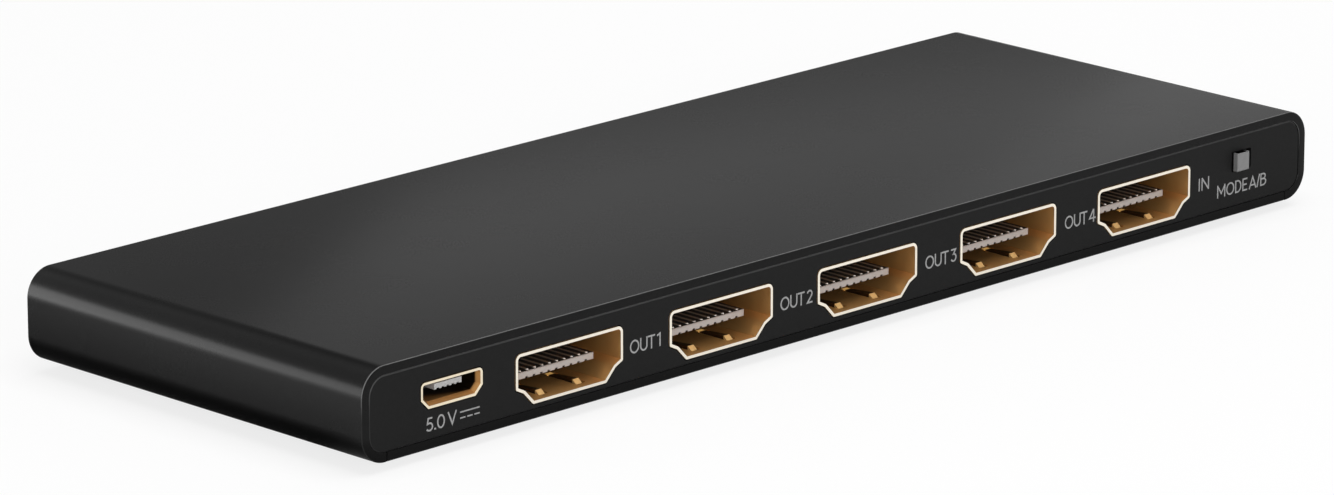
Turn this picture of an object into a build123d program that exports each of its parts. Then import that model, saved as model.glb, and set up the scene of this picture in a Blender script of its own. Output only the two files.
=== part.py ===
from build123d import *
import os

os.makedirs("parts", exist_ok=True)

# A slim video splitter for a desk: one source in, four screens out.
# Lengths are in millimetres. +X runs along the front to the right, +Y goes into
# the depth and +Z is up. The origin is the middle of the whole footprint, on the
# surface that the rubber feet stand on.

# The case: a C-shaped extruded sleeve whose open bottom is closed by a cover.
case_width = 137.0
case_depth = 48.6
case_height = 9.65
case_corner = 2.95
mouth_wall = 0.97
rebate_step = 0.38
rebate_spare = 0.05
edge_break = 0.12
seam_inset = 3.14
seam_gap = 0.15

# The two end panels, which sit in rebates of the sleeve.
panel_thickness = 1.0
panel_setback = 0.03
panel_fit = 0.04
panel_bevel = 0.15
panel_hole_gap = 0.12
lug_width = 4.4
lug_reach = 4.4
lug_gap = 0.15
rear_lug_inset = 34.0

# Places along the front, each as a share of the case's width from its left end.
video_first_share = 0.20022
video_last_share = 0.81161
power_place_share = 0.08566
switch_place_share = 0.925

# Stick-on rubber feet.
foot_height = 1.0
foot_diameter = 8.0
foot_edge = 0.3
foot_inset_side = 9.0
foot_inset_end = 7.0

# Small machine screws.
screw_diameter = 2.0
screw_hole_gap = 0.1
thread_gap = 0.03
sunk_head_diameter = 3.8
sunk_head_height = 0.85
sunk_head_gap = 0.05
pan_head_diameter = 3.6
pan_head_height = 1.1
pan_head_edge = 0.2
board_screw_grip = 1.6
recess_length = 1.7
recess_width = 0.4
recess_depth = 0.45

# The circuit board and what it stands on.
board_thickness = 1.2
board_side_gap = 0.6
board_end_gap = 0.45
board_hole_gap = 0.2
board_corner = 1.0
standoff_diameter = 4.2
spigot_diameter = 3.0
hole_inset_side = 6.0
hole_inset_front = 11.0
hole_inset_back = 5.0
sheet_thickness = 0.2
sheet_hole_gap = 0.3
sheet_margin = 1.0

# A video socket: a folded metal shell round a flat tongue.
video_count = 5
video_width = 14.48
video_height = 5.38
video_side_height = 3.55
video_step_width = 1.03
video_step_drop = 0.5
video_slant_width = 1.27
video_corner = 0.68
video_bend = 0.25
video_metal = 0.29
video_length = 11.5
video_floor_gap = 0.58
video_sink = 2.87
video_ear_reach = 1.0
video_leg_width = 1.2
video_leg_first = 4.0
video_leg_spacing = 5.4
leg_tail = 0.6
leg_hole_gap = 0.12
cutout_gap = 0.15

# The sprung fingers that are cut out of a video socket's floor and roof.
finger_spacing = 5.04
finger_width = 0.78
finger_slot = 0.24
finger_front = 1.22
finger_crest = 0.64
finger_root = 5.3
finger_rise = 0.28
finger_dip = 0.25

# The plastic tongue of a video socket, its block and its contacts.
tongue_width = 10.2
tongue_thickness = 0.71
tongue_drop = 0.15
tongue_setback = 1.88
tongue_edge = 0.08
block_length = 3.1
block_past = 0.4
block_fit = 0.03
contact_pitch = 1.0
contact_width = 0.3
contact_thickness = 0.2
contact_proud = 0.03
contact_setback = 0.4
contact_tip = 0.12
groove_gap = 0.03
upper_contacts = 10
lower_contacts = 9
tail_gap = 0.9
tail_bend = 0.15
tail_foot = 1.0

# The small power socket, whose mouth is flared.
power_mouth_width = 8.1
power_mouth_height = 2.7
power_mouth_below = 0.36
power_mouth_corner = 0.52
power_mouth_slant = 0.95
power_width = 7.5
power_height = 2.3
power_corner = 0.4
power_slant = 0.75
power_flare = 0.5
power_metal = 0.24
power_length = 5.0
power_leg_width = 1.0
power_leg_first = 1.9
power_leg_spacing = 2.2
power_tongue_width = 3.6
power_tongue_thickness = 0.58
power_tongue_setback = 0.57
power_tongue_roof_gap = 0.31
power_block_length = 1.4
power_contacts = 5
power_pitch = 0.65
power_contact_width = 0.3
power_contact_thickness = 0.15
power_contact_setback = 0.5
power_tail_gap = 0.25
power_foot = 0.7

# The slide switch, and the slot that its knob shows through.
slot_width = 3.1
slot_height = 2.2
slot_corner = 0.2
knob_width = 1.85
knob_height = 1.97
knob_proud = 0.63
knob_end_gap = 0.3
knob_stop_gap = 0.15
knob_edge = 0.12
knob_level = 1.43
knob_pocket_width = 1.45
knob_pocket_length = 1.9
knob_pocket_depth = 0.5
knob_pocket_inset = 0.16
carriage_width = 3.6
carriage_length = 1.8
switch_metal = 0.2
switch_length = 3.0
switch_height = 2.7
switch_setback = 0.05
switch_fit = 0.08
terminal_count = 3
terminal_pitch = 1.3
terminal_width = 0.4
terminal_thickness = 0.12
terminal_foot = 0.8
wiper_thickness = 0.1
wiper_length = 1.2
wiper_drop = 0.2
wiper_gap = 0.03

# Parts soldered on the board. Each place is a share of the free area behind the
# sockets, from its left edge and from its front edge.
area_margin = 1.5
chip_edge = 0.12
main_chip_width = 11.0
main_chip_height = 0.9
main_chip_share = (0.46, 0.50)
pad_spare = 1.0
so_chip_width = 5.0
so_chip_length = 3.9
so_chip_height = 1.5
so_lead_count = 4
so_lead_pitch = 1.27
so_lead_width = 0.4
so_lead_thickness = 0.2
so_lead_reach = 1.05
so_lead_level = 0.75
so_lead_foot = 0.45
so_chip_shares = ((0.30, 0.55), (0.62, 0.55))
firmware_chip_share = (0.46, 0.93)
regulator_width = 6.5
regulator_length = 3.5
regulator_height = 1.6
regulator_shares = ((0.14, 0.30), (0.14, 0.80))
inductor_width = 5.2
inductor_height = 2.6
inductor_cap = 0.9
inductor_core = 3.2
inductor_shares = ((0.05, 0.55), (0.23, 0.80))
coil_gap = 0.1
tank_width = 3.5
tank_length = 2.8
tank_height = 1.9
tank_shares = ((0.05, 0.20), (0.23, 0.30), (0.80, 0.80))
crystal_width = 3.2
crystal_length = 2.5
crystal_height = 0.8
crystal_share = (0.55, 0.90)
guard_width = 2.5
guard_length = 1.0
guard_height = 0.5
guard_offset = 4.0
guard_gap = 0.6
small_width = 1.0
small_length = 0.5
small_height = 0.5
small_spacing = 1.6
resistors_per_socket = 8
resistor_gap = 1.0
capacitor_gap = 1.6
capacitors_per_side = 6
led_width = 2.0
led_length = 1.2
led_height = 1.7
led_gap = 0.3
guide_diameter = 1.6
guide_reach = 2.2

# Levels and places that follow from the sizes above.
case_bottom = foot_height
case_top = case_bottom + case_height
floor_top = case_bottom + mouth_wall
lid_under = case_top - mouth_wall - rebate_step
case_front = (knob_proud - case_depth) / 2
case_back = case_front + case_depth
case_half = case_width / 2
cavity_half = case_half - mouth_wall - rebate_step
rebate_depth = panel_setback + panel_thickness + rebate_spare
front_panel_face = case_front + panel_setback
front_panel_rear = front_panel_face + panel_thickness
rear_panel_face = case_back - panel_setback
rear_panel_inner = rear_panel_face - panel_thickness
video_bottom = floor_top + video_floor_gap
video_top = video_bottom + video_height
board_top = video_bottom + video_sink
board_bottom = board_top - board_thickness
board_half = cavity_half - board_side_gap
board_front = front_panel_rear + board_end_gap
board_back = rear_panel_inner - board_end_gap
lug_top = board_bottom - leg_tail - lug_gap
block_back = case_front + video_length + block_past
cutout_back = block_back + tail_gap
area_left = -board_half + area_margin
area_right = board_half - area_margin
area_front = cutout_back + tail_foot + area_margin
area_back = board_back - area_margin
knob_travel = slot_width - knob_width - knob_end_gap - knob_stop_gap
video_first = video_first_share * case_width - case_half
video_pitch = (video_last_share - video_first_share) * case_width / (video_count - 1)
video_centres = [video_first + k * video_pitch for k in range(video_count)]
power_centre = power_place_share * case_width - case_half
switch_centre = switch_place_share * case_width - case_half
switch_front = board_front + switch_setback
switch_back = switch_front + switch_length
chamber_half = (carriage_width + knob_travel) / 2 + switch_fit
carriage_front = switch_front + switch_metal + switch_fit
knob_start = switch_centre - knob_travel / 2
slot_centre = switch_centre + (knob_stop_gap - knob_end_gap) / 2
base_top = board_top + knob_level - knob_height / 2 - switch_fit
carriage_under = base_top + wiper_gap + wiper_thickness + wiper_drop
front_lug_centres = [
    (video_centres[0] + video_centres[1]) / 2,
    (video_centres[-2] + video_centres[-1]) / 2,
]
rear_lug_centres = [rear_lug_inset - case_half, case_half - rear_lug_inset]


def block(x0, x1, y0, y1, z0, z1):
    """A square-edged block between two opposite corners."""
    middle = Pos((x0 + x1) / 2, (y0 + y1) / 2, (z0 + z1) / 2)
    return middle * Box(x1 - x0, y1 - y0, z1 - z0)


def block_on(x, y, z, width, length, height):
    """A square-edged block that stands on level z, centred on x and y."""
    return block(x - width / 2, x + width / 2, y - length / 2, y + length / 2, z, z + height)


def rod(x, y, z, diameter, height):
    """An upright round rod that stands on level z."""
    return Pos(x, y, z + height / 2) * Cylinder(diameter / 2, height)


def prism(face, y0, y1):
    """A flat outline in x and z, carried from depth y0 to depth y1."""
    return extrude(Plane.XZ.offset(-y0) * face, y1 - y0, dir=(0, 1, 0))


def strip(path, thickness, width, x):
    """A flat metal strip bent along a path of (y, z) points and centred on x.

    Complex numbers hold the points: a step times 1j is the step's normal, and at a
    bend the two normals are mitred so that the strip keeps its thickness.
    """
    points = [complex(y, z) for y, z in path]
    normals = [(b - a) / abs(b - a) * 1j for a, b in zip(points, points[1:])]
    pairs = zip(normals[:1] + normals, normals + normals[-1:])
    mitres = [(a + b) / (1 + (a * b.conjugate()).real) for a, b in pairs]
    upper = [p + m * thickness / 2 for p, m in zip(points, mitres)]
    lower = [p - m * thickness / 2 for p, m in zip(points, mitres)]
    outline = [(p.real, p.imag) for p in upper + lower[::-1]]
    face = Plane.YZ * make_face(Polyline(*outline, close=True))
    return Pos(x - width / 2) * extrude(face, width)


def group(solids):
    """Separate solids that share one node."""
    return Compound(list(solids))


def places(count, pitch):
    """Places of a row of equal pieces, centred on zero."""
    return [(k - (count - 1) / 2) * pitch for k in range(count)]


def corners(x_half, y_front, y_back):
    """The four corners of a rectangle that is centred on x."""
    return [(x, y) for x in (-x_half, x_half) for y in (y_front, y_back)]


def in_area(share):
    """A place on the board from its shares of the free area."""
    x_share, y_share = share
    x = area_left + (area_right - area_left) * x_share
    return x, area_front + (area_back - area_front) * y_share


def rounded_window(half, bottom, top, radius):
    """A rounded rectangle in x and z."""
    return Pos(0, (bottom + top) / 2) * RectangleRounded(2 * half, top - bottom, radius)


def case_sleeve():
    """Lid, sides and bottom flanges in one extrusion, thinner where the panels sit."""
    body = prism(rounded_window(case_half, case_bottom, case_top, case_corner), case_front, case_back)
    ends = body.faces().group_by(Axis.Y)[0] + body.faces().group_by(Axis.Y)[-1]
    body = chamfer(ends.edges(), edge_break)
    opening = Pos(0, floor_top) * Rectangle(2 * (case_half - seam_inset), 2 * floor_top)
    flange_top = floor_top + rebate_step
    cavity = rounded_window(cavity_half, flange_top, lid_under, case_corner - mouth_wall - rebate_step)
    mouth = rounded_window(case_half - mouth_wall, floor_top, case_top - mouth_wall, case_corner - mouth_wall)
    body -= prism(mouth + opening, case_front, case_front + rebate_depth)
    body -= prism(cavity + opening, case_front + rebate_depth, case_back - rebate_depth)
    return body - prism(mouth + opening, case_back - rebate_depth, case_back)


def screw_hole(x, y):
    """A countersunk clearance hole through the bottom cover, seen from below."""
    head = sunk_head_diameter / 2 + sunk_head_gap
    shank = screw_diameter / 2 + screw_hole_gap
    cone = Pos(x, y, case_bottom + sunk_head_height / 2) * Cone(head, shank, sunk_head_height)
    return cone + rod(x, y, case_bottom, 2 * shank, mouth_wall)


def cover_screw_places():
    """Where the cover is screwed to the lugs of both panels."""
    front = [(x, front_panel_rear + lug_reach / 2) for x in front_lug_centres]
    rear = [(x, rear_panel_inner - lug_reach / 2) for x in rear_lug_centres]
    return front + rear


def standoff_places():
    """Where the board is held."""
    return corners(board_half - hole_inset_side, board_front + hole_inset_front, board_back - hole_inset_back)


def bottom_cover():
    """The flat plate between the sleeve's flanges."""
    half = case_half - seam_inset - seam_gap
    plate = block(-half, half, case_front, case_back, case_bottom, floor_top)
    lower = plate.faces().sort_by(Axis.Z)[0].edges()
    plate = chamfer(lower.group_by(Axis.Y)[0] + lower.group_by(Axis.Y)[-1], edge_break)
    plate -= [screw_hole(x, y) for x, y in cover_screw_places()]
    return plate - [rod(x, y, case_bottom, spigot_diameter, mouth_wall) for x, y in standoff_places()]


def panel_blank(face_y, inner_y):
    """A plate that fills the sleeve's mouth, with a fine bevel round its outer face."""
    half = case_half - mouth_wall - panel_fit
    radius = case_corner - mouth_wall - panel_fit
    outline = rounded_window(half, floor_top, case_top - mouth_wall - panel_fit, radius)
    plate = prism(outline, min(face_y, inner_y), max(face_y, inner_y))
    outer = plate.faces().sort_by(Axis.Y)[0 if face_y < inner_y else -1]
    return chamfer(outer.edges(), panel_bevel)


def lug(x, inner_y, direction):
    """A tapped block at the foot of a panel, which the cover is screwed to."""
    y0, y1 = sorted((inner_y, inner_y + direction * lug_reach))
    solid = block(x - lug_width / 2, x + lug_width / 2, y0, y1, floor_top, lug_top)
    tapped = screw_diameter + 2 * thread_gap
    return solid - rod(x, (y0 + y1) / 2, floor_top, tapped, lug_top - floor_top)


def knob_slot():
    """The opening that the switch knob slides in."""
    hole = RectangleRounded(slot_width, slot_height, slot_corner)
    return Pos(slot_centre, board_top + knob_level) * hole


def front_panel():
    """The plate with all the sockets and the switch slot."""
    plate = panel_blank(front_panel_face, front_panel_rear)
    openings = [Pos(x, 0) * video_outline(panel_hole_gap) for x in video_centres]
    openings.append(Pos(power_centre, 0) * power_outline(True, panel_hole_gap))
    openings.append(knob_slot())
    plate -= [prism(hole, case_front, front_panel_rear) for hole in openings]
    for x in front_lug_centres:
        plate += lug(x, front_panel_rear, 1)
    return plate


def rear_panel():
    """The plate at the back, with a round window for each status light."""
    plate = panel_blank(rear_panel_face, rear_panel_inner)
    plate -= [guide_rod(x, rear_panel_inner) for x in light_places()]
    for x in rear_lug_centres:
        plate += lug(x, rear_panel_inner, -1)
    return plate


def rubber_feet():
    """Four round pads under the corners of the case."""
    spots = corners(case_half - foot_inset_side, case_front + foot_inset_end, case_back - foot_inset_end)
    pad = rod(0, 0, 0, foot_diameter, foot_height)
    pad = chamfer(pad.faces().sort_by(Axis.Z)[0].edges(), foot_edge)
    return group(Pos(x, y, 0) * pad for x, y in spots)


def cross_recess(z):
    """The cross that a screwdriver fits, cut upwards from level z."""
    one = block_on(0, 0, z, recess_length, recess_width, recess_depth)
    return one + block_on(0, 0, z, recess_width, recess_length, recess_depth)


def cover_screws():
    """Countersunk screws from below, through the cover into the panel lugs."""
    head = Cone(sunk_head_diameter / 2, screw_diameter / 2, sunk_head_height)
    head = Pos(0, 0, case_bottom + sunk_head_height / 2) * head
    shank = rod(0, 0, case_bottom, screw_diameter, lug_top - case_bottom)
    screw = head + shank - cross_recess(case_bottom)
    return group(Pos(x, y, 0) * screw for x, y in cover_screw_places())


def board_screws():
    """Pan-head screws from above, through the board into the standoffs."""
    head = rod(0, 0, board_top, pan_head_diameter, pan_head_height)
    head = chamfer(head.faces().sort_by(Axis.Z)[-1].edges(), pan_head_edge)
    length = board_thickness + board_screw_grip
    screw = head + rod(0, 0, board_top - length, screw_diameter, length)
    screw -= cross_recess(board_top + pan_head_height - recess_depth)
    return group(Pos(x, y, 0) * screw for x, y in standoff_places())


def standoffs():
    """Tapped round posts, pressed into the bottom cover."""
    post = rod(0, 0, floor_top, standoff_diameter, board_bottom - floor_top)
    post += rod(0, 0, case_bottom, spigot_diameter, mouth_wall)
    depth = board_screw_grip + thread_gap
    post -= rod(0, 0, board_bottom - depth, screw_diameter + 2 * thread_gap, depth)
    return group(Pos(x, y, 0) * post for x, y in standoff_places())


def insulating_sheet():
    """Thin film on the floor, under the soldered side of the board."""
    front = cutout_back + sheet_margin
    back = rear_panel_inner - lug_reach - sheet_margin
    half = case_half - seam_inset - sheet_margin
    film = block(-half, half, front, back, floor_top, floor_top + sheet_thickness)
    hole = standoff_diameter + 2 * sheet_hole_gap
    return film - [rod(x, y, floor_top, hole, sheet_thickness) for x, y in standoff_places()]


def leg_slot(x, y, width):
    """The slot in the board that one socket leg goes through."""
    wide = video_metal + 2 * leg_hole_gap
    long = width + 2 * leg_hole_gap
    return block_on(x, y, board_bottom, wide, long, board_thickness)


def circuit_board():
    """The board, with cut-outs that the video sockets sink into."""
    board = block(-board_half, board_half, board_front, board_back, board_bottom, board_top)
    board = fillet(board.edges().filter_by(Axis.Z), board_corner)
    opening = video_width / 2 + cutout_gap
    for x in video_centres:
        board -= block(x - opening, x + opening, board_front, cutout_back, board_bottom, board_top)
        board -= [leg_slot(x + dx, y, video_leg_width) for dx, y in video_leg_places()]
    board -= [leg_slot(power_centre + dx, y, power_leg_width) for dx, y in power_leg_places()]
    hole = screw_diameter + 2 * board_hole_gap
    return board - [rod(x, y, board_bottom, hole, board_thickness) for x, y in standoff_places()]


def video_outline(grow):
    """The outside of a video socket's mouth, wide side up, grown by a gap."""
    half = video_width / 2
    side_low = video_top - video_side_height
    step_x = half - video_step_width
    right = [
        (step_x - video_slant_width, video_bottom),
        (step_x, side_low - video_step_drop),
        (half, side_low),
        (half, video_top),
    ]
    left = [(-x, z) for x, z in right[::-1]]
    face = make_face(Polyline(*right, *left, close=True))
    rows = face.vertices().group_by(Axis.Y)
    face = fillet(rows[-1], video_corner)
    lower = face.vertices().group_by(Axis.Y)[:3]
    face = fillet([v for row in lower for v in row], video_bend)
    return offset(face, amount=grow, kind=Kind.INTERSECTION) if grow else face


def video_leg_places():
    """The four legs of a video socket: x from its middle, and depth."""
    x = video_width / 2 + video_ear_reach - video_metal / 2
    first = case_front + video_leg_first
    return corners(x, first, first + video_leg_spacing)


def finger(x, level, up):
    """A sprung finger cut out of the shell's floor, or of its roof where up is -1."""
    root = case_front + finger_root
    tip = case_front + finger_front
    path = [
        (root + video_metal, level),
        (root, level),
        (tip + finger_crest, level + up * finger_rise),
        (tip, level - up * finger_dip),
    ]
    return strip(path, video_metal, finger_width, x)


def finger_window(x, level):
    """The U-shaped slot round a finger, as the whole window."""
    half = finger_width / 2 + finger_slot
    front = case_front + finger_front - finger_slot
    reach = video_metal / 2
    return block(x - half, x + half, front, case_front + finger_root, level - reach, level + reach)


def video_shell():
    """The folded metal shell with its fingers, and the ears and legs on its sides."""
    back = case_front + video_length
    shell = prism(video_outline(0), case_front, back)
    shell -= prism(video_outline(-video_metal), case_front, back)
    half = video_width / 2
    floor_level = video_bottom + video_metal / 2
    roof_level = video_top - video_metal / 2
    for x in places(2, finger_spacing):
        shell -= [finger_window(x, level) for level in (floor_level, roof_level)]
        shell += [finger(x, floor_level, 1), finger(x, roof_level, -1)]
    for x, y in video_leg_places():
        side = 1 if x > 0 else -1
        ear_x = side * (half + (video_ear_reach - video_metal) / 2)
        shell += block_on(ear_x, y, board_top, video_ear_reach + video_metal, video_leg_width, video_metal)
        leg_bottom = board_bottom - leg_tail
        shell += block_on(x, y, leg_bottom, video_metal, video_leg_width, board_top - leg_bottom)
    return shell


def video_rows():
    """The two rows of contacts: places, middle level of the strip, and dip at the tip."""
    tongue_top = board_top - tongue_drop
    tongue_bottom = tongue_top - tongue_thickness
    inside = contact_thickness / 2 - contact_proud
    upper = places(upper_contacts, contact_pitch)
    lower = places(lower_contacts, contact_pitch)
    return [(upper, tongue_top - inside, contact_tip), (lower, tongue_bottom + inside, 0)]


def video_insulator():
    """Tongue and rear block in one moulding, with a groove for every contact."""
    front = case_front + tongue_setback
    block_front = block_back - block_length
    tongue_top = board_top - tongue_drop
    half = tongue_width / 2
    tongue = block(-half, half, front, block_back, tongue_top - tongue_thickness, tongue_top)
    tongue = chamfer(tongue.faces().sort_by(Axis.Y)[0].edges(), tongue_edge)
    moulding = tongue + prism(video_outline(-video_metal - block_fit), block_front, block_back)
    width = contact_width + 2 * groove_gap
    for row, level, dip in video_rows():
        start = front + contact_setback - contact_thickness if dip else front
        low = level - contact_thickness / 2 - dip - groove_gap
        high = level + contact_thickness / 2 + groove_gap
        moulding -= [block(x - width / 2, x + width / 2, start, block_back, low, high) for x in row]
    return moulding


def video_contacts():
    """Contact strips of both rows, whose tails share one row of feet on the board."""
    tip = case_front + tongue_setback + contact_setback
    foot_level = board_top + contact_thickness / 2
    strips = []
    for row, level, dip in video_rows():
        path = [
            (tip, level - dip),
            (tip + contact_tip, level),
            (block_back + tail_bend, level),
            (cutout_back - tail_bend, foot_level),
            (cutout_back + tail_foot, foot_level),
        ]
        strips += [strip(path, contact_thickness, contact_width, x) for x in row]
    return group(strips)


def power_outline(mouth, grow):
    """The outside of the power socket at its flared mouth, or behind the flare."""
    width = power_mouth_width if mouth else power_width
    height = power_mouth_height if mouth else power_height
    slant = power_mouth_slant if mouth else power_slant
    corner = power_mouth_corner if mouth else power_corner
    bottom = board_top - power_mouth_below if mouth else board_top
    half = width / 2
    right = [(half - slant, bottom), (half, bottom + slant), (half, bottom + height)]
    left = [(-x, z) for x, z in right[::-1]]
    face = make_face(Polyline(*right, *left, close=True))
    face = fillet(face.vertices().group_by(Axis.Y)[-1], corner)
    return offset(face, amount=grow, kind=Kind.INTERSECTION) if grow else face


def power_leg_places():
    """The four legs of the power socket: x from its middle, and depth."""
    first = case_front + power_leg_first
    return corners((power_width - power_metal) / 2, first, first + power_leg_spacing)


def power_tube(grow):
    """The flared front and the straight rest of the power socket, as one solid."""
    neck = case_front + power_flare
    wide = Plane.XZ.offset(-case_front) * power_outline(True, grow)
    narrow = Plane.XZ.offset(-neck) * power_outline(False, grow)
    rear = prism(power_outline(False, grow), neck, case_front + power_length)
    return loft([wide.face(), narrow.face()]) + rear


def power_socket_shell():
    """The flared shell of the power socket, with legs down its sides."""
    shell = power_tube(0) - power_tube(-power_metal)
    top = board_top + power_height - power_corner
    bottom = board_bottom - leg_tail
    for x, y in power_leg_places():
        shell += block_on(x, y, bottom, power_metal, power_leg_width, top - bottom)
    shell -= prism(power_outline(False, -power_metal), case_front + power_flare, case_front + power_length)
    return Pos(power_centre, 0, 0) * shell


def power_tongue_bottom():
    """The underside of the power socket's tongue."""
    roof = board_top + power_height - power_metal
    return roof - power_tongue_roof_gap - power_tongue_thickness


def power_socket_insulator():
    """The small tongue and its rear block."""
    back = case_front + power_length
    front = case_front + power_tongue_setback
    bottom = power_tongue_bottom()
    half = power_tongue_width / 2
    moulding = block(-half, half, front, back, bottom, bottom + power_tongue_thickness)
    inside = power_outline(False, -power_metal - block_fit)
    moulding += prism(inside, back - power_block_length, back)
    width = power_contact_width + 2 * groove_gap
    low = bottom - groove_gap
    high = bottom + power_contact_thickness - contact_proud
    for x in places(power_contacts, power_pitch):
        moulding -= block(x - width / 2, x + width / 2, front, back, low - contact_proud, high)
    return Pos(power_centre, 0, 0) * moulding


def power_socket_contacts():
    """Strips on the underside of the small tongue, bent down to the board behind it."""
    level = power_tongue_bottom() + power_contact_thickness / 2 - contact_proud
    back = case_front + power_length + power_tail_gap
    foot_level = board_top + power_contact_thickness / 2
    tip = case_front + power_tongue_setback + power_contact_setback
    path = [(tip, level), (back, level), (back, foot_level), (back + power_foot, foot_level)]
    row = places(power_contacts, power_pitch)
    return group(strip(path, power_contact_thickness, power_contact_width, power_centre + x) for x in row)


def switch_cover():
    """The metal box of the slide switch, open below, with a window for the knob's neck."""
    half = chamber_half + switch_metal
    top = board_top + switch_height
    box = block(-half, half, switch_front, switch_back, board_top, top)
    inner_back = switch_back - switch_metal
    inner_front, inner_top = switch_front + switch_metal, top - switch_metal
    box -= block(-chamber_half, chamber_half, inner_front, inner_back, board_top, inner_top)
    window = (knob_width + knob_travel) / 2 + switch_fit
    neck = knob_height / 2 + switch_fit
    level = board_top + knob_level
    box -= block(-window, window, switch_front, switch_front + switch_metal, level - neck, level + neck)
    box -= block(-chamber_half, chamber_half, inner_back, switch_back, board_top, base_top)
    return Pos(switch_centre, 0, 0) * box


def switch_base():
    """The plastic floor of the switch, grooved for its terminals."""
    front = switch_front + switch_metal
    base = block(-chamber_half, chamber_half, front, switch_back, board_top, base_top)
    wide = terminal_width / 2
    low = base_top - terminal_thickness
    for x in places(terminal_count, terminal_pitch):
        base -= block(x - wide, x + wide, terminal_start(), switch_back, low, base_top)
    return Pos(switch_centre, 0, 0) * base


def terminal_start():
    """Where the terminals begin, under the middle of the carriage."""
    return carriage_front + (carriage_length - wiper_length) / 2


def switch_terminals():
    """Three flat terminals, which leave the switch at its back and step down to the board."""
    level = base_top - terminal_thickness / 2
    back = switch_back + terminal_thickness / 2
    foot_level = board_top + terminal_thickness / 2
    path = [(terminal_start(), level), (back, level), (back, foot_level), (back + terminal_foot, foot_level)]
    row = places(terminal_count, terminal_pitch)
    return group(strip(path, terminal_thickness, terminal_width, switch_centre + x) for x in row)


def switch_knob():
    """Knob, neck and carriage in one moulding, at the left end of its travel."""
    level = board_top + knob_level
    front = case_front - knob_proud
    head = block_on(0, 0, level - knob_height / 2, knob_width, carriage_front - front, knob_height)
    head = Pos(0, (front + carriage_front) / 2, 0) * head
    head = chamfer(head.faces().sort_by(Axis.Y)[0].edges(), knob_edge)
    pocket_front = front + knob_pocket_inset
    head -= block(
        -knob_pocket_width / 2,
        knob_pocket_width / 2,
        pocket_front,
        pocket_front + knob_pocket_length,
        level + knob_height / 2 - knob_pocket_depth,
        level + knob_height / 2,
    )
    top = board_top + switch_height - switch_metal - switch_fit
    half = carriage_width / 2
    carriage = block(-half, half, carriage_front, carriage_front + carriage_length, carriage_under, top)
    return Pos(knob_start, 0, 0) * (head + carriage)


def switch_wiper():
    """The sprung strip under the carriage, which joins two terminals."""
    start = terminal_start()
    low = base_top + wiper_gap + wiper_thickness / 2
    high = low + wiper_drop - wiper_gap
    path = [(start, high), (start + wiper_length / 2, low), (start + wiper_length, high)]
    return strip(path, wiper_thickness, terminal_pitch + terminal_width, knob_start)


def chip(share, width, length, height):
    """A plain moulded chip on the board, with a fine bevel round its top."""
    x, y = in_area(share)
    body = block_on(x, y, board_top, width, length, height)
    return chamfer(body.faces().sort_by(Axis.Z)[-1].edges(), chip_edge)


def splitter_chip():
    """The main chip, which copies the picture signal to every output."""
    return chip(main_chip_share, main_chip_width, main_chip_width, main_chip_height)


def thermal_pad():
    """A soft pad that carries the main chip's heat to the lid."""
    x, y = in_area(main_chip_share)
    low = board_top + main_chip_height
    width = main_chip_width - pad_spare
    return block_on(x, y, low, width, width, lid_under - low)


def memory_chips():
    """Two eight-leg chips that hold the lists of picture formats."""
    return group(chip(share, so_chip_width, so_chip_length, so_chip_height) for share in so_chip_shares)


def firmware_chip():
    """The eight-leg chip that holds the program."""
    return chip(firmware_chip_share, so_chip_width, so_chip_length, so_chip_height)


def chip_leads():
    """The gull-wing legs of the eight-leg chips."""
    legs = []
    for share in (*so_chip_shares, firmware_chip_share):
        x, y = in_area(share)
        for side in (-1, 1):
            edge = y + side * so_chip_length / 2
            high = board_top + so_lead_level
            low = board_top + so_lead_thickness / 2
            bend = edge + side * (so_lead_reach - so_lead_foot)
            path = [(edge, high), (bend, high), (bend, low), (edge + side * so_lead_reach, low)]
            row = places(so_lead_count, so_lead_pitch)
            legs += [strip(path, so_lead_thickness, so_lead_width, x + dx) for dx in row]
    return group(legs)


def regulator_chips():
    """The voltage regulators."""
    size = regulator_width, regulator_length, regulator_height
    return group(chip(share, *size) for share in regulator_shares)


def inductor_cores():
    """Drum cores of the two power coils."""
    cores = []
    for share in inductor_shares:
        x, y = in_area(share)
        drum = block_on(x, y, board_top, inductor_width, inductor_width, inductor_cap)
        drum += rod(x, y, board_top, inductor_core, inductor_height)
        top = board_top + inductor_height - inductor_cap
        cores.append(drum + block_on(x, y, top, inductor_width, inductor_width, inductor_cap))
    return group(cores)


def inductor_coils():
    """The copper windings round the drum cores."""
    coils = []
    for share in inductor_shares:
        x, y = in_area(share)
        height = inductor_height - 2 * inductor_cap
        ring = rod(x, y, board_top + inductor_cap, inductor_width - coil_gap, height)
        coils.append(ring - rod(x, y, board_top + inductor_cap, inductor_core, height))
    return group(coils)


def tank_capacitors():
    """The larger storage capacitors."""
    return group(chip(share, tank_width, tank_length, tank_height) for share in tank_shares)


def crystal():
    """The metal-lidded clock crystal."""
    return chip(crystal_share, crystal_width, crystal_length, crystal_height)


def guard_chips():
    """Two surge guards behind each video socket."""
    y = cutout_back + tail_foot + guard_gap + guard_length / 2
    guards = []
    for x in video_centres:
        for dx in places(2, guard_offset):
            guards.append(block_on(x + dx, y, board_top, guard_width, guard_length, guard_height))
    return group(guards)


def small_resistors():
    """A row of small resistors behind each socket's surge guards."""
    y = cutout_back + tail_foot + guard_gap + guard_length + resistor_gap
    row = [x + dx for x in video_centres for dx in places(resistors_per_socket, small_spacing)]
    return group(block_on(x, y, board_top, small_length, small_width, small_height) for x in row)


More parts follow.
